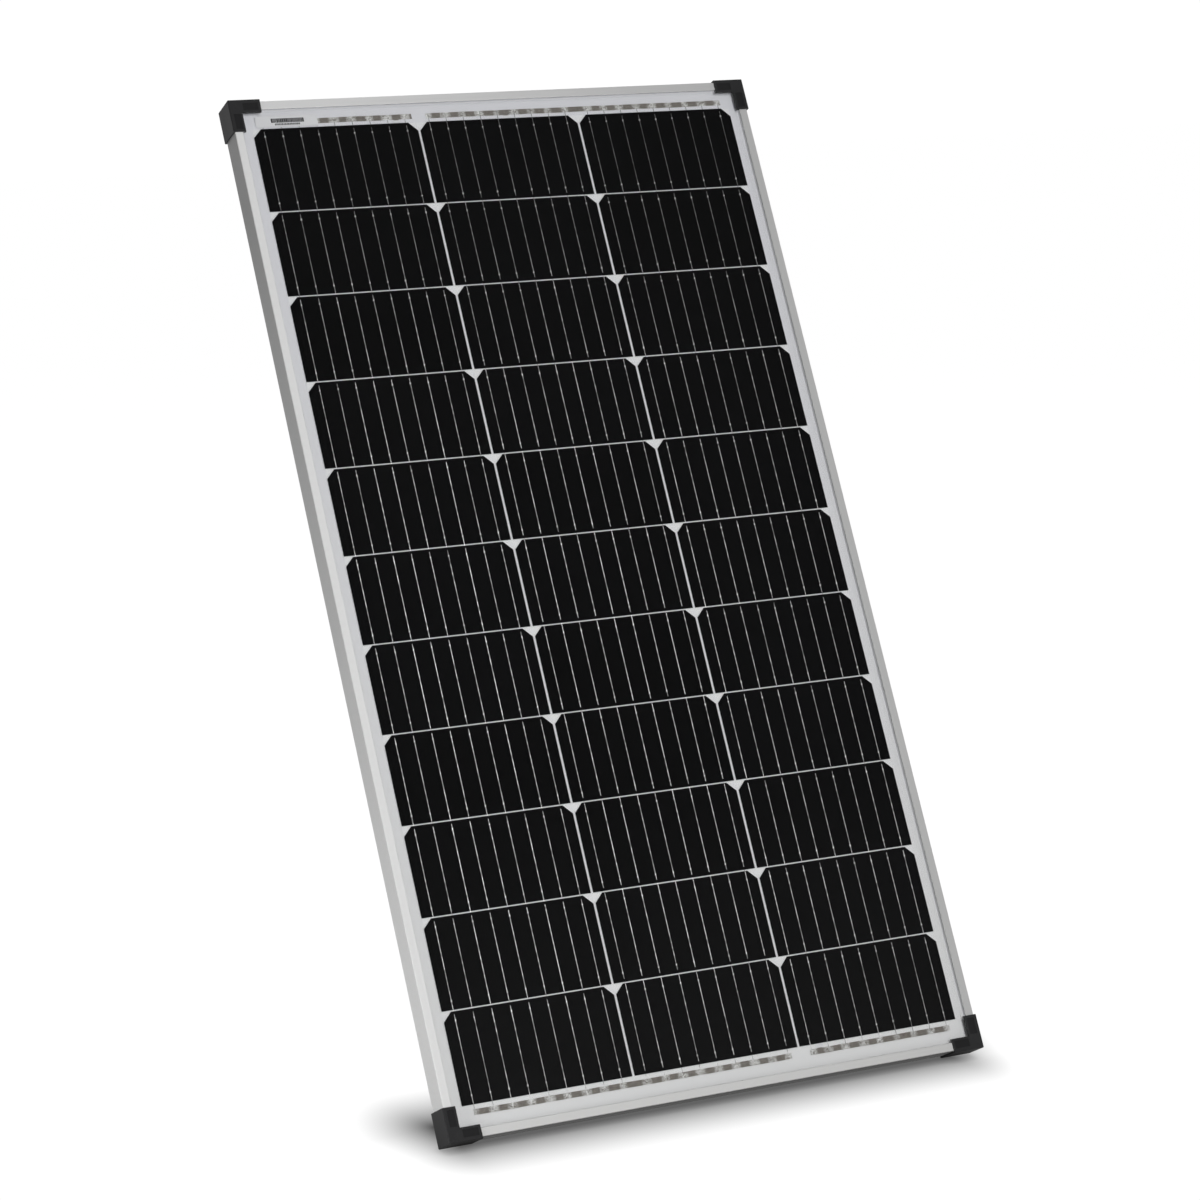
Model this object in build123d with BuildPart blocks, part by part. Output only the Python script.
from build123d import *
import os

# A framed monocrystalline photovoltaic module: 33 half-cut cells in three strings behind
# glass, in a mitred aluminium frame with plastic corner protectors, and with a low-profile
# junction box, two leads and two plug connectors on its back.
#
# Frame of the part: +X to the right seen from the front, -Y towards the sun side,
# +Y towards the back, +Z up the long side. The origin is at the centre of the bottom,
# in the plane the bottom corner protectors stand on and halfway through the frame's
# depth. All lengths are in millimetres.
#
# Names starting with D_ (and those ending in _D0, _D1) are depths behind the plane of the
# frame's front lip.

os.makedirs("parts", exist_ok=True)

# ---------------------------------------------------------------- driving dimensions
FRAME_W = 539.0          # outside width of the aluminium frame
FRAME_H = 980.0          # outside height of the aluminium frame
FRAME_D = 25.0           # depth of the frame extrusion
WALL = 1.5               # wall of the extrusion
LIP = 7.9                # width of the front lip over the glass
SHELF = 11.4             # width of the shelf behind the laminate
SHELF_T = 1.4            # thickness of that shelf
GROOVE = 5.8             # opening of the glazing groove
FLANGE = 25.0            # width of the rear mounting flange
CHAMBER_WALL = 1.4       # inner wall of the corner-key chamber

CAP_T = 1.8              # wall of a corner protector
CAP_ARM = 30.0           # length of a protector's arms from the frame's corner
CAP_FRONT = 11.0         # how far a protector reaches in over the front
CAP_REAR = 13.0          # how far a protector reaches in over the rear flange

CELL_W = 166.0           # half-cut M6 wafer
CELL_H = 83.0
CELL_T = 0.18
CELL_CUT = 8.5           # 45 degree corner cuts of the pseudo-square wafer
COL_GAP = 2.3
ROW_GAP = 1.2
ROWS = 11
MARGIN_BOTTOM = 29.4     # frame's lower edge to the lowest cell
ARRAY_X = 1.6            # the strings are laid this far to the right of the frame's middle
WIRE_N = 9               # wires per cell
WIRE_PITCH = 18.0
WIRE_W = 0.4
WIRE_T = 0.25
WIRE_END = 3.0           # bare cell left beyond a wire's end
RIBBON_W = 5.2
RIBBON_GAP_TOP = 3.6
RIBBON_GAP_BOTTOM = 4.3

GLASS_T = 3.2
EVA_FRONT_T = 0.4
EVA_REAR_T = 0.32
BACKSHEET_T = 0.3
EDGE_GAP = 0.9           # laminate edge to the groove's wall
BEAD = 0.5               # sealant between the lip and the glass

BOX_W = 96.0             # junction box
BOX_H = 84.0
BOX_Z = 862.0            # lower edge of the box
BOX_WALL = 3.0
BOX_FLOOR = 1.8
BOX_CORNER = 4.0         # outer corner radius of the box
BOX_ADHESIVE = 0.8
D_BOX_RIM = 21.5
LID_T = 2.2

CABLE_R = 2.8
CORE_R = 1.1
D_CABLE = 15.2           # depth of the leads' axis
GLAND_X = 30.0

# ---------------------------------------------------------------- derived positions
HALF_W = FRAME_W / 2
FRAME_Z0 = CAP_T                         # frame's lower edge
FRAME_Z1 = FRAME_Z0 + FRAME_H            # frame's upper edge
FRAME_ZC = (FRAME_Z0 + FRAME_Z1) / 2
COL_PITCH = CELL_W + COL_GAP
ROW_PITCH = CELL_H + ROW_GAP
CELLS_Z0 = FRAME_Z0 + MARGIN_BOTTOM
CELLS_Z1 = CELLS_Z0 + ROWS * CELL_H + (ROWS - 1) * ROW_GAP
COLS_X = (ARRAY_X - COL_PITCH, ARRAY_X, ARRAY_X + COL_PITCH)

# Front face of each layer, going back
D_GLASS = WALL + BEAD
D_EVA_FRONT = D_GLASS + GLASS_T
D_WIRE_FRONT = D_EVA_FRONT + EVA_FRONT_T
D_CELL = D_WIRE_FRONT + WIRE_T
D_WIRE_REAR = D_CELL + CELL_T
D_EVA_REAR = D_WIRE_REAR + WIRE_T
D_BACKSHEET = D_EVA_REAR + EVA_REAR_T
D_REAR = D_BACKSHEET + BACKSHEET_T       # rear face of the laminate
D_SHELF = WALL + GROOVE
LAM_W = FRAME_W - 2 * (WALL + EDGE_GAP)
LAM_H = FRAME_H - 2 * (WALL + EDGE_GAP)

RIB_TOP0 = CELLS_Z1 + RIBBON_GAP_TOP     # lower and upper edge of the top ribbons
RIB_TOP1 = RIB_TOP0 + RIBBON_W
RIB_BOT1 = CELLS_Z0 - RIBBON_GAP_BOTTOM  # upper and lower edge of the bottom ribbons
RIB_BOT0 = RIB_BOT1 - RIBBON_W

D_BOX = D_REAR + BOX_ADHESIVE
D_FLOOR = D_BOX + BOX_FLOOR              # inner face of the box's floor
BOX_TOP = BOX_Z + BOX_H
BOX_ZC = BOX_Z + BOX_H / 2
SLOT_Z = BOX_TOP - 14.0                  # where the leads come out through the backsheet
OPEN_W, OPEN_H = 76.0, 9.0               # opening around the leads
OPEN_Z = SLOT_Z + 1.5


# ---------------------------------------------------------------- helpers
def y_at(depth):
    """Y of a depth measured back from the front lip plane."""
    return depth - FRAME_D / 2


def rear_plane(depth):
    """Plane at a depth; sketches on it extrude towards the front, with (x, z) as local axes."""
    return Plane.XZ.offset(-y_at(depth))


def cell_z(row):
    """Lower edge of a cell; row 0 is the top row."""
    return CELLS_Z1 - CELL_H - row * ROW_PITCH


def left_section(outline):
    """(inset, depth) points placed at the left side, for a sketch parallel to XY."""
    return [(-HALF_W + inset, y_at(depth)) for inset, depth in outline]


def top_section(outline):
    """(inset, depth) points placed at the top side, for a sketch parallel to YZ."""
    return [(y_at(depth), FRAME_Z1 - inset) for inset, depth in outline]


def side_view(outline):
    """(depth, z) points as local points of a sketch parallel to YZ."""
    return [(y_at(depth), z) for depth, z in outline]


def save(builder, name):
    builder.part.label = name
    export_step(builder.part, f"parts/{name}.step")


def save_mirrored(source, name, about):
    with BuildPart() as copy:
        mirror(source.part, about=about)
    save(copy, name)


def save_plate(name, rear, thickness, centre, width, height):
    """A rectangular sheet whose rear face lies at depth rear; centre is (x, z)."""
    with BuildPart() as plate:
        with BuildSketch(rear_plane(rear)):
            with Locations(centre):
                Rectangle(width, height)
        extrude(amount=thickness)
    save(plate, name)


# ================================================================ frame
# Section of the extrusion, as (distance in from the outer face, depth)
SECTION = [
    (0.0, 0.5), (0.5, 0.0), (LIP - 0.4, 0.0), (LIP, 0.4), (LIP, WALL), (WALL, WALL),
    (WALL, D_SHELF), (SHELF, D_SHELF), (SHELF, FRAME_D - WALL), (FLANGE, FRAME_D - WALL),
    (FLANGE, FRAME_D), (0.4, FRAME_D), (0.0, FRAME_D - 0.4),
]
CHAMBER = [
    (WALL, D_SHELF + SHELF_T), (SHELF - CHAMBER_WALL, D_SHELF + SHELF_T),
    (SHELF - CHAMBER_WALL, FRAME_D - WALL), (WALL, FRAME_D - WALL),
]
HOLE_INSET = 18.0                 # hole centres, in from the frame's outer face
MOUNT_X = HALF_W - HOLE_INSET
MOUNT_PITCH = 490.0
MOUNT_R = 3.5
END_HOLE_PITCH = 300.0
END_HOLE_DZ = FRAME_H / 2 - HOLE_INSET
END_HOLE_R = 3.25
GROUND_R = 2.1
GROUND_DZ = 120.0                 # ground holes, below the middle
HOLE_CUT = WALL + 0.5             # depth of cut of the holes

MID_HEIGHT = Plane.XY.offset(FRAME_ZC)
TOP_LEFT = (-HALF_W, 0, FRAME_Z1)

with BuildPart() as left_rail:
    with BuildSketch(Plane.XY.offset(FRAME_Z0)):
        with BuildLine():
            Polyline(*left_section(SECTION), close=True)
        make_face()
        with BuildLine():
            Polyline(*left_section(CHAMBER), close=True)
        make_face(mode=Mode.SUBTRACT)
    extrude(amount=FRAME_H)
    split(bisect_by=Plane(origin=TOP_LEFT, z_dir=(1, 0, 1)), keep=Keep.BOTTOM)
    split(bisect_by=Plane(origin=(-HALF_W, 0, FRAME_Z0), z_dir=(1, 0, -1)), keep=Keep.BOTTOM)
    with BuildSketch(rear_plane(FRAME_D)):
        with Locations((-MOUNT_X, FRAME_ZC - MOUNT_PITCH / 2),
                       (-MOUNT_X, FRAME_ZC + MOUNT_PITCH / 2)):
            Circle(MOUNT_R)
        with Locations((-MOUNT_X, FRAME_ZC - GROUND_DZ)):
            Circle(GROUND_R)
    extrude(amount=HOLE_CUT, mode=Mode.SUBTRACT)
save(left_rail, "left_rail")
save_mirrored(left_rail, "right_rail", Plane.YZ)

with BuildPart() as top_rail:
    with BuildSketch(Plane.YZ.offset(-HALF_W)):
        with BuildLine():
            Polyline(*top_section(SECTION), close=True)
        make_face()
        with BuildLine():
            Polyline(*top_section(CHAMBER), close=True)
        make_face(mode=Mode.SUBTRACT)
    extrude(amount=FRAME_W)
    split(bisect_by=Plane(origin=TOP_LEFT, z_dir=(-1, 0, -1)), keep=Keep.BOTTOM)
    split(bisect_by=Plane(origin=(HALF_W, 0, FRAME_Z1), z_dir=(1, 0, -1)), keep=Keep.BOTTOM)
    with BuildSketch(rear_plane(FRAME_D)):
        with Locations((-END_HOLE_PITCH / 2, FRAME_ZC + END_HOLE_DZ),
                       (END_HOLE_PITCH / 2, FRAME_ZC + END_HOLE_DZ)):
            Circle(END_HOLE_R)
    extrude(amount=HOLE_CUT, mode=Mode.SUBTRACT)
save(top_rail, "top_rail")
save_mirrored(top_rail, "bottom_rail", MID_HEIGHT)

# Cast L-shaped keys, pressed into the chambers of the rails at each mitre.
KEY_CLEAR = 0.1
KEY_ARM = 46.0
KEY_CUT = 1.5                     # corner cuts at the ends of the arms
KEY_IN = WALL + KEY_CLEAR
KEY_OUT = SHELF - CHAMBER_WALL - KEY_CLEAR
KEY_MID = (KEY_IN + KEY_OUT) / 2
KEY_D0 = D_SHELF + SHELF_T + KEY_CLEAR
KEY_D1 = FRAME_D - WALL - KEY_CLEAR
KEY_SLOT_L, KEY_SLOT_W = 22.0, 4.0
KEY_SLOT_AT = 24.0                # slot centre, from the frame's corner along the arm
# (distance in from the side, distance down from the top)
KEY_SHAPE = [
    (KEY_IN, KEY_IN), (KEY_ARM - KEY_CUT, KEY_IN), (KEY_ARM, KEY_IN + KEY_CUT),
    (KEY_ARM, KEY_OUT - KEY_CUT), (KEY_ARM - KEY_CUT, KEY_OUT), (KEY_OUT, KEY_OUT),
    (KEY_OUT, KEY_ARM - KEY_CUT), (KEY_OUT - KEY_CUT, KEY_ARM),
    (KEY_IN + KEY_CUT, KEY_ARM), (KEY_IN, KEY_ARM - KEY_CUT),
]
with BuildPart() as corner_keys:
    with BuildSketch(rear_plane(KEY_D1)):
        with BuildLine():
            Polyline(*[(-HALF_W + across, FRAME_Z1 - down) for across, down in KEY_SHAPE],
                     close=True)
        make_face()
    extrude(amount=KEY_D1 - KEY_D0)
    # a slot through each arm
    with BuildSketch(rear_plane(KEY_D1)):
        with Locations((-HALF_W + KEY_SLOT_AT, FRAME_Z1 - KEY_MID)):
            SlotOverall(KEY_SLOT_L, KEY_SLOT_W)
        with Locations((-HALF_W + KEY_MID, FRAME_Z1 - KEY_SLOT_AT)):
            SlotOverall(KEY_SLOT_L, KEY_SLOT_W, rotation=90)
    extrude(amount=KEY_D1 - KEY_D0, mode=Mode.SUBTRACT)
    mirror(about=Plane.YZ)
    mirror(about=MID_HEIGHT)
save(corner_keys, "corner_keys")

# ================================================================ corner protectors
# C-shaped section, as (distance in from the frame's outer face, depth). Its front face
# falls slightly inwards, so that its two arms meet in a mitre line.
CAP_SLOPE = 0.9
CAP_SECTION = [
    (-CAP_T, -1.0), (-1.1, -CAP_T), (CAP_FRONT - 0.4, CAP_SLOPE - CAP_T),
    (CAP_FRONT, CAP_SLOPE - CAP_T + 0.4), (CAP_FRONT, D_GLASS - 0.1), (LIP + 0.1, D_GLASS - 0.1),
    (LIP + 0.1, 0.0), (0.0, 0.0), (0.0, FRAME_D), (CAP_REAR, FRAME_D),
    (CAP_REAR, FRAME_D + CAP_T - 0.5), (CAP_REAR - 0.5, FRAME_D + CAP_T),
    (-1.0, FRAME_D + CAP_T), (-CAP_T, FRAME_D + 1.0),
]
# Section of the cut that sinks a grained panel 0.3 into the sloping front of a protector
CAP_PANEL = [(inset, CAP_SLOPE * (inset + 1.1) / (CAP_FRONT + 0.7) - CAP_T + sink)
             for inset, sink in ((1.8, -1.5), (8.8, -1.5), (8.8, 0.3), (1.8, 0.3))]
PANEL_START = 12.5                # near end of a panel, from the frame's corner
PANEL_L = 15.0
CAP_EASE = 0.7                    # chamfer on the protector's outer corner

# The arm along the top rail, cut at the mitre
with BuildPart() as cap_top_arm:
    with BuildSketch(Plane.YZ.offset(-HALF_W - CAP_T)):
        with BuildLine():
            Polyline(*top_section(CAP_SECTION), close=True)
        make_face()
    extrude(amount=CAP_ARM + CAP_T)
    split(bisect_by=Plane(origin=TOP_LEFT, z_dir=(-1, 0, -1)), keep=Keep.BOTTOM)

with BuildPart() as cap_top_left:
    # arm along the left rail, cut at the mitre and joined to the other arm there
    with BuildSketch(Plane.XY.offset(FRAME_Z1 - CAP_ARM)):
        with BuildLine():
            Polyline(*left_section(CAP_SECTION), close=True)
        make_face()
    extrude(amount=CAP_ARM + CAP_T)
    split(bisect_by=Plane(origin=TOP_LEFT, z_dir=(1, 0, 1)), keep=Keep.BOTTOM)
    add(cap_top_arm.part)
    # shallow panels near the ends of the two front arms
    with BuildSketch(Plane.XY.offset(FRAME_Z1 - PANEL_START - PANEL_L)):
        with BuildLine():
            Polyline(*left_section(CAP_PANEL), close=True)
        make_face()
    extrude(amount=PANEL_L, mode=Mode.SUBTRACT)
    with BuildSketch(Plane.YZ.offset(-HALF_W + PANEL_START)):
        with BuildLine():
            Polyline(*top_section(CAP_PANEL), close=True)
        make_face()
    extrude(amount=PANEL_L, mode=Mode.SUBTRACT)
    # the outer corner is eased where the three walls meet
    outer_corner = (-HALF_W - CAP_T, 0, FRAME_Z1 + CAP_T)
    chamfer(cap_top_left.edges().filter_by(Axis.Y).sort_by_distance(outer_corner)[0],
            length=CAP_EASE)
save(cap_top_left, "corner_cap_top_left")
save_mirrored(cap_top_left, "corner_cap_top_right", Plane.YZ)

with BuildPart() as cap_bottom_left:
    mirror(cap_top_left.part, about=MID_HEIGHT)
save(cap_bottom_left, "corner_cap_bottom_left")
save_mirrored(cap_bottom_left, "corner_cap_bottom_right", Plane.YZ)

# ================================================================ glazing
# Three rings fill the groove: behind the laminate, around it and in front of it.
# Columns: depth of the rear face, thickness, inset of the inner edge.
SEAL_RINGS = [
    (D_SHELF, D_SHELF - D_REAR, SHELF),
    (D_REAR, D_REAR - D_GLASS, WALL + EDGE_GAP),
    (D_GLASS, BEAD, LIP),
]
with BuildPart() as edge_seal:
    for rear, thickness, inset in SEAL_RINGS:
        with BuildSketch(rear_plane(rear)):
            with Locations((0, FRAME_ZC)):
                Rectangle(FRAME_W - 2 * WALL, FRAME_H - 2 * WALL)
                Rectangle(FRAME_W - 2 * inset, FRAME_H - 2 * inset, mode=Mode.SUBTRACT)
        extrude(amount=thickness)
save(edge_seal, "edge_seal")

save_plate("front_glass", D_EVA_FRONT, GLASS_T, (0, FRAME_ZC), LAM_W, LAM_H)

# Serial label, sunk into the rear face of the front encapsulant over the end of a ribbon
LABEL_W, LABEL_H, LABEL_T = 62.0, 11.4, 0.08
LABEL_AT = (ARRAY_X - 216.0, CELLS_Z1 + 7.0)
save_plate("barcode_label", D_WIRE_FRONT, LABEL_T, LABEL_AT, LABEL_W, LABEL_H)

with BuildPart() as front_encapsulant:
    with BuildSketch(rear_plane(D_WIRE_FRONT)):
        with Locations((0, FRAME_ZC)):
            Rectangle(LAM_W, LAM_H)
    extrude(amount=EVA_FRONT_T)
    with BuildSketch(rear_plane(D_WIRE_FRONT)):
        with Locations(LABEL_AT):
            Rectangle(LABEL_W, LABEL_H)
    extrude(amount=LABEL_T, mode=Mode.SUBTRACT)
save(front_encapsulant, "front_encapsulant")

# ================================================================ cells
CELL_SHAPE = [
    (-CELL_W / 2, 0.0), (CELL_W / 2, 0.0), (CELL_W / 2, CELL_H - CELL_CUT),
    (CELL_W / 2 - CELL_CUT, CELL_H), (-CELL_W / 2 + CELL_CUT, CELL_H),
    (-CELL_W / 2, CELL_H - CELL_CUT),
]


def save_cell_string(name, column_x):
    with BuildPart() as string:
        with BuildSketch(rear_plane(D_WIRE_REAR)):
            for row in range(ROWS):
                with BuildLine():
                    Polyline(*[(column_x + x, cell_z(row) + z) for x, z in CELL_SHAPE],
                             close=True)
                make_face()
        extrude(amount=CELL_T)
    save(string, name)


# Wire outlines, as (depth, z). Each wire runs down the front of one cell, steps through the
# gap and runs on behind the next. The two outer strings step downwards; the middle one
# steps upwards, so that its polarity is reversed.
WIRE_GAP_IN = 0.4                 # step's distance from the cells, in the gap between rows
WIRE_SHORT = 0.4                  # an end wire stops this far short of a ribbon's far edge
WIRES_X = [(i - (WIRE_N - 1) / 2) * WIRE_PITCH for i in range(WIRE_N)]


def strip(front, rear, bottom, top):
    """Outline of a straight wire."""
    return [(front, bottom), (rear, bottom), (rear, top), (front, top)]


def stepped(front_end, front_step, rear_step, rear_end):
    """Outline of a wire in front of one cell and behind the next, from its z values."""
    return [
        (D_WIRE_FRONT, front_end), (D_CELL, front_end), (D_CELL, front_step),
        (D_EVA_REAR, front_step), (D_EVA_REAR, rear_end), (D_WIRE_REAR, rear_end),
        (D_WIRE_REAR, rear_step), (D_WIRE_FRONT, rear_step),
    ]


DOWN_WIRES = []
UP_WIRES = []
for row in range(ROWS - 1):
    gap_high = cell_z(row) - WIRE_GAP_IN
    gap_low = cell_z(row) - ROW_GAP + WIRE_GAP_IN
    high_end = cell_z(row) + CELL_H - WIRE_END
    low_end = cell_z(row + 1) + WIRE_END
    DOWN_WIRES.append(stepped(high_end, gap_high, gap_low, low_end))
    UP_WIRES.append(stepped(low_end, gap_low, gap_high, high_end))

# Wires of the end cells, run out onto the ribbons
TOP_SPAN = (cell_z(0) + WIRE_END, RIB_TOP1 - WIRE_SHORT)
BOTTOM_SPAN = (RIB_BOT0 + WIRE_SHORT, cell_z(ROWS - 1) + CELL_H - WIRE_END)
DOWN_WIRES += [
    strip(D_WIRE_REAR, D_EVA_REAR, *TOP_SPAN),
    strip(D_WIRE_FRONT, D_CELL, *BOTTOM_SPAN),
]
UP_WIRES += [
    strip(D_WIRE_FRONT, D_CELL, *TOP_SPAN),
    strip(D_WIRE_REAR, D_EVA_REAR, *BOTTOM_SPAN),
]


def save_cell_wires(name, column_x, outlines):
    with BuildPart() as wires:
        with BuildSketch(*[Plane.YZ.offset(column_x + x - WIRE_W / 2) for x in WIRES_X]):
            for outline in outlines:
                with BuildLine():
                    Polyline(*side_view(outline), close=True)
                make_face()
        extrude(amount=WIRE_W)
    save(wires, name)


for side, column_x, outlines in zip(("left", "middle", "right"), COLS_X,
                                    (DOWN_WIRES, UP_WIRES, DOWN_WIRES)):
    save_cell_string(f"cell_string_{side}", column_x)
    save_cell_wires(f"cell_wires_{side}", column_x, outlines)

# ================================================================ bus ribbons
RIBBON_LEFT = ARRAY_X - 241.4
RIBBON_RIGHT = ARRAY_X + 243.2
# name, left end, right end, lower edge
RIBBONS = [
    ("top_left", RIBBON_LEFT, ARRAY_X - 89.0, RIB_TOP0),
    ("top_right", ARRAY_X - 74.2, RIBBON_RIGHT, RIB_TOP0),
    ("bottom_left", RIBBON_LEFT, ARRAY_X + 75.0, RIB_BOT0),
    ("bottom_right", ARRAY_X + 94.6, RIBBON_RIGHT, RIB_BOT0),
]
for place, left, right, bottom in RIBBONS:
    save_plate(f"bus_ribbon_{place}", D_WIRE_REAR, CELL_T,
               ((left + right) / 2, bottom + RIBBON_W / 2), right - left, RIBBON_W)

# ================================================================ leads behind the cells
D_LEAD = D_EVA_REAR + 0.1              # flat copper leads behind the cells
LEAD_T = 0.2
LEAD_W = 5.0
D_LEAD_REAR = D_LEAD + LEAD_T
FILM_EDGE = 1.5                        # film beyond the lead's edges
FILM_GAP = 0.5                         # film's end to the ribbon
PLATE_D0 = D_FLOOR + 2.0               # terminal plates stand on ribs over the box floor
PLATE_D1 = PLATE_D0 + 1.0
TAIL = 10.0                            # end of a lead folded down on its terminal
TERMINAL_X = (-30.0, 0.0, 30.0)
# name, foot's x on its ribbon, terminal's x, whether it runs to the top ribbons
LEADS = [
    ("lead_positive", COLS_X[0] + 3.5 * WIRE_PITCH, TERMINAL_X[0], True),
    ("lead_middle", COLS_X[1] + 0.5 * WIRE_PITCH, TERMINAL_X[1], True),
    ("lead_negative", COLS_X[2] - 3.5 * WIRE_PITCH, TERMINAL_X[2], False),
]


def lead_outline(foot, terminal, stop, to_top, grow=0.0):
    """L-shaped outline in (x, z) from a foot ending at z = stop to a terminal."""
    side = 1 if terminal > foot else -1
    reach = side * (LEAD_W / 2 + grow)
    low, high = SLOT_Z - grow, SLOT_Z + LEAD_W + grow
    outer_z, inner_z = (low, high) if to_top else (high, low)
    outer, inner, tip = foot - reach, foot + reach, terminal + reach
    return [(outer, stop), (outer, outer_z), (tip, outer_z), (tip, inner_z),
            (inner, inner_z), (inner, stop)]


LEAD_SHAPES = [lead_outline(foot, terminal, RIB_TOP1 if to_top else RIB_BOT0, to_top)
               for name, foot, terminal, to_top in LEADS]
FILM_SHAPES = [lead_outline(foot, terminal,
                            RIB_TOP0 - FILM_GAP if to_top else RIB_BOT1 + FILM_GAP,
                            to_top, grow=FILM_EDGE)
               for name, foot, terminal, to_top in LEADS]

# Film between the leads and the cells
with BuildPart() as lead_film:
    with BuildSketch(rear_plane(D_LEAD)):
        for shape in FILM_SHAPES:
            with BuildLine():
                Polyline(*shape, close=True)
            make_face()
    extrude(amount=D_LEAD - D_EVA_REAR)
save(lead_film, "lead_film")


def save_lead(name, shape, foot, terminal, to_top):
    foot_z = (RIB_TOP0 + RIB_TOP1) / 2 if to_top else (RIB_BOT0 + RIB_BOT1) / 2
    riser = [
        (D_LEAD, SLOT_Z), (D_LEAD, SLOT_Z + LEAD_T), (PLATE_D1 + LEAD_T, SLOT_Z + LEAD_T),
        (PLATE_D1 + LEAD_T, SLOT_Z - TAIL), (PLATE_D1, SLOT_Z - TAIL), (PLATE_D1, SLOT_Z),
    ]
    with BuildPart() as lead:
        with BuildSketch(rear_plane(D_LEAD_REAR)):
            with BuildLine():
                Polyline(*shape, close=True)
            make_face()
        extrude(amount=LEAD_T)
        # soldered foot on the bus ribbon
        with BuildSketch(rear_plane(D_LEAD_REAR)):
            with Locations((foot, foot_z)):
                Rectangle(LEAD_W, RIBBON_W)
        extrude(amount=D_LEAD_REAR - D_WIRE_REAR)
        # riser through the backsheet and tail on the terminal
        with BuildSketch(Plane.YZ.offset(terminal - LEAD_W / 2)):
            with BuildLine():
                Polyline(*side_view(riser), close=True)
            make_face()
        extrude(amount=LEAD_W)
    save(lead, name)


for (name, foot, terminal, to_top), shape in zip(LEADS, LEAD_SHAPES):
    save_lead(name, shape, foot, terminal, to_top)

# ================================================================ rear of the laminate
RIM_X = COLS_X[2] + CELL_W / 2 + 3.0
RIM_Z0, RIM_Z1 = RIB_BOT0 - 2.0, RIB_TOP1 + 2.0
with BuildPart() as rear_encapsulant:
    with BuildSketch(rear_plane(D_BACKSHEET)):
        with Locations((0, FRAME_ZC)):
            Rectangle(LAM_W, LAM_H)
    extrude(amount=EVA_REAR_T)
    # melted rim around the strings, up to the front sheet
    with BuildSketch(rear_plane(D_EVA_REAR)):
        with Locations((0, FRAME_ZC)):
            Rectangle(LAM_W, LAM_H)
        with Locations((0, (RIM_Z0 + RIM_Z1) / 2)):
            Rectangle(2 * RIM_X, RIM_Z1 - RIM_Z0, mode=Mode.SUBTRACT)
    extrude(amount=D_EVA_REAR - D_WIRE_FRONT)
    # opening for the risers, then room for the leads and their film
    with BuildSketch(rear_plane(D_BACKSHEET)):
        with Locations((0, OPEN_Z)):
            Rectangle(OPEN_W, OPEN_H)
    extrude(amount=EVA_REAR_T, mode=Mode.SUBTRACT)
    for rear, shapes in ((D_LEAD_REAR, LEAD_SHAPES), (D_LEAD, FILM_SHAPES)):
        with BuildSketch(rear_plane(rear)):
            for shape in shapes:
                with BuildLine():
                    Polyline(*shape, close=True)
                make_face()
        extrude(amount=rear - D_EVA_REAR, mode=Mode.SUBTRACT)
save(rear_encapsulant, "rear_encapsulant")

with BuildPart() as backsheet:
    with BuildSketch(rear_plane(D_REAR)):
        with Locations((0, FRAME_ZC)):
            Rectangle(LAM_W, LAM_H)
        with Locations((0, OPEN_Z)):
            Rectangle(OPEN_W, OPEN_H, mode=Mode.SUBTRACT)
    extrude(amount=BACKSHEET_T)
save(backsheet, "backsheet")

REAR_LABEL_W, REAR_LABEL_H, REAR_LABEL_T = 110.0, 84.0, 0.12
REAR_LABEL_AT = (-150.0, BOX_ZC - 30.0)
with BuildPart() as rear_label:
    with BuildSketch(rear_plane(D_REAR + REAR_LABEL_T)):
        with Locations(REAR_LABEL_AT):
            RectangleRounded(REAR_LABEL_W, REAR_LABEL_H, 2.5)
    extrude(amount=REAR_LABEL_T)
save(rear_label, "rear_label")

# ================================================================ junction box
CABLE_Y = y_at(D_CABLE)
GLANDS = [(-GLAND_X, CABLE_Y), (GLAND_X, CABLE_Y)]
GLAND_STUB_R = 5.1
GLAND_BORE_R = 3.7
GLAND_STUB_L = 9.0
STUB_Z = BOX_Z - GLAND_STUB_L       # lower end of the stubs

HINGE_X = 30.0                      # inner face of a lug
HINGE_Z = BOX_TOP + 2.6
D_PIN = 22.6
PIN_R = 1.0
PIN_END = 0.8                       # pin beyond the lugs
KNUCKLE_R = 2.2
KNUCKLE_W = 6.0
KNUCKLE_GAP = 0.2                   # between a lid knuckle and its lug

FINGER_N, FINGER_PITCH = 7, 6.0
FINGER_Z = BOX_ZC - 18.0            # lowest finger rib
RIB_ZS = (SLOT_Z - 40.0, SLOT_Z - 6.0)
PLATE_Z0, PLATE_Z1 = SLOT_Z - 48.0, SLOT_Z - 2.0

GASKET_OUT, GASKET_IN = 0.9, 2.1    # gasket's edges, in from the box's outer face
GASKET_T = 1.2


def gasket_ring():
    """Draw the ring of the gasket and its groove in the sketch being built."""
    for inset, mode in ((GASKET_OUT, Mode.ADD), (GASKET_IN, Mode.SUBTRACT)):
        RectangleRounded(BOX_W - 2 * inset, BOX_H - 2 * inset, BOX_CORNER - inset, mode=mode)


with BuildPart() as box_adhesive:
    with BuildSketch(rear_plane(D_BOX)):
        with Locations((0, BOX_ZC)):
            RectangleRounded(BOX_W - 4, BOX_H - 4, 3.0)
        with Locations((0, OPEN_Z)):
            Rectangle(OPEN_W, OPEN_H, mode=Mode.SUBTRACT)
    extrude(amount=BOX_ADHESIVE)
save(box_adhesive, "box_adhesive")

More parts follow.
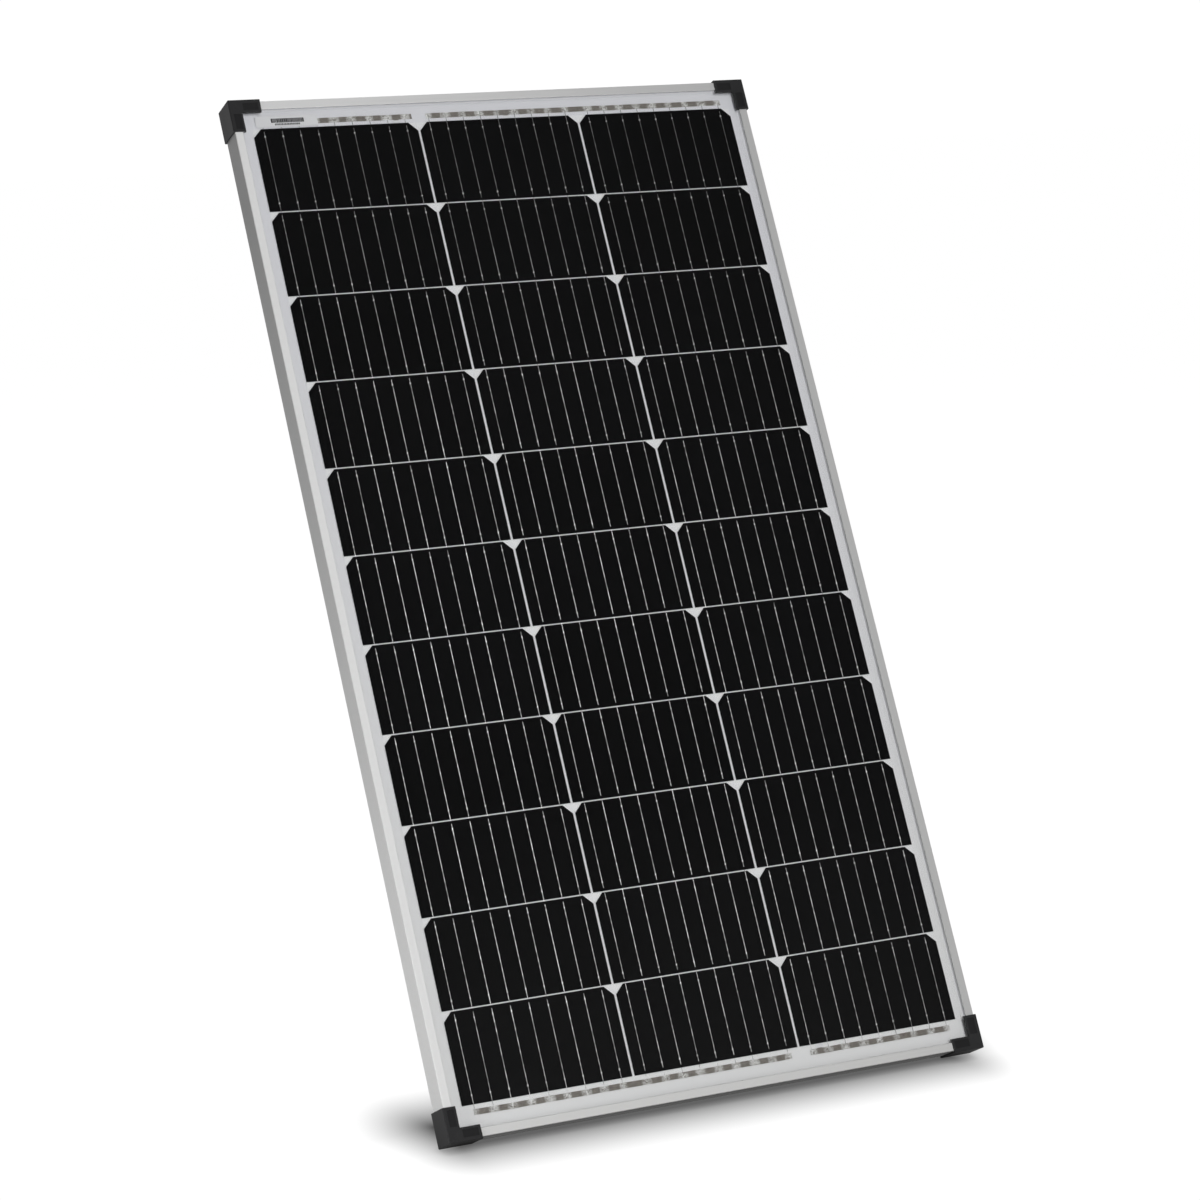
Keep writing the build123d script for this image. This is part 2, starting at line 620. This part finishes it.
with BuildPart() as box_base:
    with BuildSketch(rear_plane(D_BOX_RIM)):
        with Locations((0, BOX_ZC)):
            RectangleRounded(BOX_W, BOX_H, BOX_CORNER)
    extrude(amount=D_BOX_RIM - D_BOX)
    # finger ribs on the two side walls
    with BuildSketch(rear_plane(D_BOX_RIM - 3.0)):
        for i in range(FINGER_N):
            with Locations((-BOX_W / 2, FINGER_Z + FINGER_PITCH * i),
                           (BOX_W / 2, FINGER_Z + FINGER_PITCH * i)):
                SlotOverall(3.6, 2.4)
    extrude(amount=8.0)
    # cavity
    with BuildSketch(rear_plane(D_BOX_RIM)):
        with Locations((0, BOX_ZC)):
            RectangleRounded(BOX_W - 2 * BOX_WALL, BOX_H - 2 * BOX_WALL, 2.0)
    extrude(amount=D_BOX_RIM - D_FLOOR, mode=Mode.SUBTRACT)
    # groove for the lid's gasket
    with BuildSketch(rear_plane(D_BOX_RIM)):
        with Locations((0, BOX_ZC)):
            gasket_ring()
    extrude(amount=GASKET_T, mode=Mode.SUBTRACT)
    # opening for the leads
    with BuildSketch(rear_plane(D_FLOOR)):
        with Locations((0, OPEN_Z)):
            Rectangle(OPEN_W, OPEN_H)
    extrude(amount=BOX_FLOOR, mode=Mode.SUBTRACT)
    # ribs that carry the terminal plates
    with BuildSketch(rear_plane(PLATE_D0)):
        for rib_z in RIB_ZS:
            with Locations(*[(x, rib_z) for x in TERMINAL_X]):
                Rectangle(9.0, 4.0)
    extrude(amount=PLATE_D0 - D_FLOOR)
    # stubs for the cable glands, their bores and the cable holes in the wall
    with BuildSketch(Plane.XY.offset(STUB_Z)):
        with Locations(*GLANDS):
            Circle(GLAND_STUB_R)
    extrude(amount=GLAND_STUB_L + 0.5)
    with BuildSketch(Plane.XY.offset(STUB_Z)):
        with Locations(*GLANDS):
            Circle(GLAND_BORE_R)
    extrude(amount=GLAND_STUB_L, mode=Mode.SUBTRACT)
    with BuildSketch(Plane.XY.offset(BOX_Z - 0.5)):
        with Locations(*GLANDS):
            Circle(CABLE_R)
    extrude(amount=BOX_WALL + 1.0, mode=Mode.SUBTRACT)
    # hinge lugs on the upper wall
    with BuildSketch(Plane.YZ.offset(HINGE_X), Plane.YZ.offset(-HINGE_X - KNUCKLE_W)):
        with Locations((y_at(D_PIN), HINGE_Z)):
            Circle(KNUCKLE_R)
        with BuildLine():
            Polyline(*side_view([(D_PIN, HINGE_Z), (D_PIN, BOX_TOP), (D_BOX_RIM - 8.0, BOX_TOP),
                                 (D_PIN - KNUCKLE_R, HINGE_Z)]), close=True)
        make_face()
        with Locations((y_at(D_PIN), HINGE_Z)):
            Circle(PIN_R, mode=Mode.SUBTRACT)
    extrude(amount=KNUCKLE_W)
    # guides of the lid's tongue, on the lower wall
    with BuildSketch(rear_plane(D_BOX_RIM - 1.0)):
        with Locations((-7.6, BOX_Z - 1.0), (7.6, BOX_Z - 1.0)):
            Rectangle(1.6, 2.0)
    extrude(amount=7.0)
save(box_base, "box_base")

with BuildPart() as lid_gasket:
    with BuildSketch(rear_plane(D_BOX_RIM)):
        with Locations((0, BOX_ZC)):
            gasket_ring()
    extrude(amount=GASKET_T)
save(lid_gasket, "lid_gasket")

# ---------------------------------------------------------------- lid
LID_D0 = D_BOX_RIM + 0.05           # a small gap over the rim
LID_D1 = D_BOX_RIM + LID_T
LID_TOP = BOX_TOP - 0.3
RIM_W = BOX_W - 2 * BOX_WALL        # size of the cavity, for the locating rim
RIM_H = BOX_H - 2 * BOX_WALL
TONGUE_W = 12.0
# Outlines in (depth, z)
TONGUE = [
    (LID_D1, BOX_Z + 4.0), (LID_D1, BOX_Z - 1.2), (LID_D1 - 0.8, BOX_Z - 2.0),
    (D_BOX_RIM - 7.5, BOX_Z - 2.0), (D_BOX_RIM - 8.0, BOX_Z - 1.5),
    (D_BOX_RIM - 8.0, BOX_Z - 0.4), (LID_D0, BOX_Z - 0.4), (LID_D0, BOX_Z + 4.0),
]
KNUCKLE_WEB = [
    (D_PIN - 0.4, HINGE_Z), (D_PIN - 0.4, LID_TOP - 2.0), (LID_D1 + 0.4, LID_TOP - 4.0),
    (D_PIN + KNUCKLE_R, HINGE_Z),
]
with BuildPart() as box_lid:
    with BuildSketch(rear_plane(LID_D1)):
        with Locations((0, (BOX_Z + LID_TOP) / 2)):
            RectangleRounded(BOX_W, LID_TOP - BOX_Z, BOX_CORNER)
    extrude(amount=LID_D1 - LID_D0)
    fillet(box_lid.faces().sort_by(Axis.Y)[-1].edges(), 0.9)
    # raised field on the outside
    with BuildSketch(rear_plane(LID_D1 + 0.6)):
        with Locations((0, BOX_ZC - 2.0)):
            RectangleRounded(BOX_W - 18.0, BOX_H - 22.0, 5.0)
    extrude(amount=0.8)
    fillet(box_lid.faces().sort_by(Axis.Y)[-1].edges(), 0.4)
    # locating rim inside the box walls
    with BuildSketch(rear_plane(LID_D0)):
        with Locations((0, BOX_ZC)):
            RectangleRounded(RIM_W - 1.0, RIM_H - 1.0, 1.6)
            RectangleRounded(RIM_W - 4.0, RIM_H - 4.0, 1.0, mode=Mode.SUBTRACT)
    extrude(amount=1.8)
    # tongue between the guides on the lower wall
    with BuildSketch(Plane.YZ.offset(-TONGUE_W / 2)):
        with BuildLine():
            Polyline(*side_view(TONGUE), close=True)
        make_face()
    extrude(amount=TONGUE_W)
    # hinge knuckles beside the box's lugs
    with BuildSketch(Plane.YZ.offset(HINGE_X - KNUCKLE_W - KNUCKLE_GAP),
                     Plane.YZ.offset(-HINGE_X + KNUCKLE_GAP)):
        with Locations((y_at(D_PIN), HINGE_Z)):
            Circle(KNUCKLE_R)
        with BuildLine():
            Polyline(*side_view(KNUCKLE_WEB), close=True)
        make_face()
        with Locations((y_at(D_PIN), HINGE_Z)):
            Circle(PIN_R + 0.05, mode=Mode.SUBTRACT)
    extrude(amount=KNUCKLE_W)
save(box_lid, "box_lid")

PIN_HALF_L = HINGE_X + KNUCKLE_W + PIN_END
with BuildPart() as hinge_pin:
    with BuildSketch(Plane.YZ.offset(-PIN_HALF_L)):
        with Locations((y_at(D_PIN), HINGE_Z)):
            Circle(PIN_R)
    extrude(amount=2 * PIN_HALF_L)
save(hinge_pin, "hinge_pin")

# ---------------------------------------------------------------- inside the box
with BuildPart() as terminals:
    with BuildSketch(rear_plane(PLATE_D1)):
        with Locations(*[(x, (PLATE_Z0 + PLATE_Z1) / 2) for x in TERMINAL_X]):
            RectangleRounded(10.0, PLATE_Z1 - PLATE_Z0, 1.5)
    extrude(amount=PLATE_D1 - PLATE_D0)
save(terminals, "terminals")

CRIMP_Z0, CRIMP_L, CRIMP_W = PLATE_Z0 + 1.5, 9.0, 7.0
CRIMP_Z1 = CRIMP_Z0 + CRIMP_L
CRIMP_D1 = D_CABLE + 2.4
with BuildPart() as crimp_blocks:
    with BuildSketch(Plane.XY.offset(CRIMP_Z0)):
        with Locations(*[(x, y_at((PLATE_D1 + CRIMP_D1) / 2)) for x in (-GLAND_X, GLAND_X)]):
            RectangleRounded(CRIMP_W, CRIMP_D1 - PLATE_D1, 1.0)
        with Locations(*GLANDS):
            Circle(CORE_R, mode=Mode.SUBTRACT)
    extrude(amount=CRIMP_L)
save(crimp_blocks, "crimp_blocks")

DIODE_AT = -32.0, 1.0               # left ends of the two diodes' wires
DIODE_L = 31.0
DIODE_LEAD_R = 0.6
DIODE_BODY_R, DIODE_BODY_L = 3.0, 9.0
DIODE_BODY_DX = 11.5                # body's left end, from the wire's left end
DIODE_CENTRE = (y_at(PLATE_D1 + DIODE_LEAD_R), SLOT_Z - 24.0)
with BuildPart() as bypass_diodes:
    for shift, radius, length in ((0.0, DIODE_LEAD_R, DIODE_L),
                                  (DIODE_BODY_DX, DIODE_BODY_R, DIODE_BODY_L)):
        with BuildSketch(*[Plane.YZ.offset(x + shift) for x in DIODE_AT]):
            with Locations(DIODE_CENTRE):
                Circle(radius)
        extrude(amount=length)
save(bypass_diodes, "bypass_diodes")

# ================================================================ cable glands
with BuildPart() as gland_seals:
    with BuildSketch(Plane.XY.offset(STUB_Z)):
        with Locations(*GLANDS):
            Circle(GLAND_BORE_R)
        with Locations(*GLANDS):
            Circle(CABLE_R, mode=Mode.SUBTRACT)
    extrude(amount=7.0)
save(gland_seals, "gland_seals")

GLAND_NUT_R = 6.1                   # centre to flat of the octagon
NUT_END = 3.0                       # end wall of the nut below the stub
with BuildPart() as gland_nuts:
    with BuildSketch(Plane.XY.offset(STUB_Z - NUT_END)):
        with Locations(*GLANDS):
            RegularPolygon(GLAND_NUT_R, 8, major_radius=False, rotation=22.5)
    extrude(amount=GLAND_STUB_L + 2.0)
    chamfer(gland_nuts.edges().group_by(Axis.Z)[0], length=1.6)
    with BuildSketch(Plane.XY.offset(STUB_Z)):
        with Locations(*GLANDS):
            Circle(GLAND_STUB_R)
    extrude(amount=GLAND_STUB_L, mode=Mode.SUBTRACT)
    with BuildSketch(Plane.XY.offset(STUB_Z - NUT_END)):
        with Locations(*GLANDS):
            Circle(CABLE_R)
    extrude(amount=NUT_END, mode=Mode.SUBTRACT)
save(gland_nuts, "gland_nuts")

# ================================================================ cables
JACKET_TOP = BOX_Z + 6.0
PLUG_IN = 16.0           # bared core inside a connector
# Axis of each cable below its gland, as (x, z): a curve, then a straight last stretch
POS_POINTS = [(-GLAND_X, 800.0), (-43.0, 735.0), (-57.0, 655.0), (-50.0, 585.0),
              (-53.0, 506.0), (-53.0, 480.0)]
NEG_POINTS = [(GLAND_X, 800.0), (47.0, 722.0), (43.0, 640.0), (57.0, 552.0),
              (53.0, 466.0), (53.0, 440.0)]


def jacket_axis(points):
    """Draw the axis of a cable's jacket in the line being built; return its end points."""
    start, *curve, end = [(x, CABLE_Y, z) for x, z in points]
    top = (start[0], CABLE_Y, JACKET_TOP)
    Line(top, start)
    Spline(start, *curve, tangents=[(0, 0, -1), (0, 0, -1)])
    Line(curve[-1], end)
    return top, end


def save_jacket(name, points):
    with BuildPart() as jacket:
        with BuildLine() as path:
            jacket_axis(points)
        with BuildSketch(Plane.XY.offset(JACKET_TOP)):
            with Locations((points[0][0], CABLE_Y)):
                Circle(CABLE_R)
                Circle(CORE_R, mode=Mode.SUBTRACT)
        sweep(path=path.wires()[0])
    save(jacket, name)


def save_core(name, points):
    """The core also runs up into its crimp block and down into its connector."""
    gland_x = points[0][0]
    end_x, end_z = points[-1]
    with BuildPart() as core:
        with BuildLine() as path:
            Line((gland_x, CABLE_Y, CRIMP_Z1), (gland_x, CABLE_Y, JACKET_TOP))
            jacket_axis(points)
            Line((end_x, CABLE_Y, end_z), (end_x, CABLE_Y, end_z - PLUG_IN))
        with BuildSketch(Plane.XY.offset(CRIMP_Z1)):
            with Locations((gland_x, CABLE_Y)):
                Circle(CORE_R)
        sweep(path=path.wires()[0])
    save(core, name)


for pole, points in (("positive", POS_POINTS), ("negative", NEG_POINTS)):
    save_jacket(f"cable_{pole}_jacket", points)
    save_core(f"cable_{pole}_core", points)

# ================================================================ connectors
# Profiles are (radius, height above the end of the cable's jacket), each turned about the
# axis of its connector. The socket is on the positive cable, the plug on the negative.
NUT_PROFILE = [
    (CABLE_R, 20.0), (5.0, 20.0), (6.6, 16.5), (7.2, 15.5), (7.2, 0.5), (6.3, 0.5),
    (6.3, 10.0), (5.0, 10.0), (5.0, 14.0), (CABLE_R, 14.0),
]
SEAL_PROFILE = [(CABLE_R, 14.0), (5.0, 14.0), (5.0, 4.0), (CABLE_R, 4.0)]
# A stepped sleeve whose mouth takes the plug's barrel
SOCKET_BODY = [
    (CABLE_R, 4.0), (5.0, 4.0), (5.0, 10.0), (6.3, 10.0), (6.3, 0.0), (7.8, 0.0),
    (7.8, -26.0), (7.2, -27.0), (5.3, -27.0), (5.3, -9.0), (2.0, -9.0), (2.0, 0.0),
    (CABLE_R, 0.0),
]
PLUG_BODY = [
    (CABLE_R, 4.0), (5.0, 4.0), (5.0, 10.0), (6.3, 10.0), (6.3, 0.0), (7.8, 0.0),
    (7.8, -8.0), (6.6, -9.5), (5.1, -9.5), (5.1, -24.0), (4.6, -24.6), (3.2, -24.6),
    (3.2, -10.0), (2.0, -10.0), (2.0, 0.0), (CABLE_R, 0.0),
]
LATCH_ARM = [(5.9, -8.5), (7.3, -8.5), (7.3, -17.0), (7.9, -17.4), (6.6, -22.5), (5.9, -22.5)]
LATCH_W = 4.2
CONTACT_CRIMP = [(CORE_R, 0.0), (2.0, 0.0), (2.0, -10.0)]
SOCKET_CONTACT = CONTACT_CRIMP + [
    (2.0, -24.0), (1.55, -24.6), (1.05, -24.6), (1.05, -17.0), (0.0, -17.0),
    (0.0, -PLUG_IN), (CORE_R, -PLUG_IN),
]
PIN_CONTACT = CONTACT_CRIMP + [
    (1.0, -17.0), (1.0, -22.6), (0.5, -23.4), (0.0, -23.4), (0.0, -PLUG_IN),
    (CORE_R, -PLUG_IN),
]
GRIP_N, GRIP_R, GRIP_AT_R, GRIP_L = 10, 0.75, 7.6, 15.5    # grip flutes around a nut
GRIP_Z = 0.5


def turned(end, profile):
    """Builder of a profile revolved about the vertical axis through a cable's end (x, z)."""
    origin = (end[0], CABLE_Y, end[1])
    with BuildPart() as piece:
        with BuildSketch(Plane(origin=origin, x_dir=(1, 0, 0), z_dir=(0, -1, 0))):
            with BuildLine():
                Polyline(*profile, close=True)
            make_face()
        revolve(axis=Axis(origin, (0, 0, 1)))
    return piece


def save_connector_nut(name, end):
    blank = turned(end, NUT_PROFILE)
    with BuildPart() as nut:
        add(blank.part)
        with BuildSketch(Plane.XY.offset(end[1] + GRIP_Z)):
            with Locations((end[0], CABLE_Y)):
                with PolarLocations(GRIP_AT_R, GRIP_N):
                    Circle(GRIP_R)
        extrude(amount=GRIP_L, mode=Mode.SUBTRACT)
    save(nut, name)


SOCKET_END = POS_POINTS[-1]
PLUG_END = NEG_POINTS[-1]
for kind, end, contact in (("socket", SOCKET_END, SOCKET_CONTACT),
                           ("plug", PLUG_END, PIN_CONTACT)):
    save_connector_nut(f"{kind}_nut", end)
    save(turned(end, SEAL_PROFILE), f"{kind}_seal")
    save(turned(end, contact), f"{kind}_contact")

socket_blank = turned(SOCKET_END, SOCKET_BODY)
with BuildPart() as socket_body:
    add(socket_blank.part)
    # windows for the plug's latches, left and right
    with BuildSketch(Plane.YZ.offset(SOCKET_END[0])):
        with Locations((CABLE_Y, SOCKET_END[1] - 20.0)):
            Rectangle(4.6, 6.0)
    extrude(amount=9.0, both=True, mode=Mode.SUBTRACT)
save(socket_body, "socket_body")

plug_blank = turned(PLUG_END, PLUG_BODY)
with BuildPart() as plug_body:
    add(plug_blank.part)
    # two sprung latch arms with barbs
    with BuildSketch(Plane.XZ.offset(-CABLE_Y - LATCH_W / 2)):
        for side in (-1, 1):
            with BuildLine():
                Polyline(*[(PLUG_END[0] + side * radius, PLUG_END[1] + z)
                           for radius, z in LATCH_ARM], close=True)
            make_face()
    extrude(amount=LATCH_W)
save(plug_body, "plug_body")
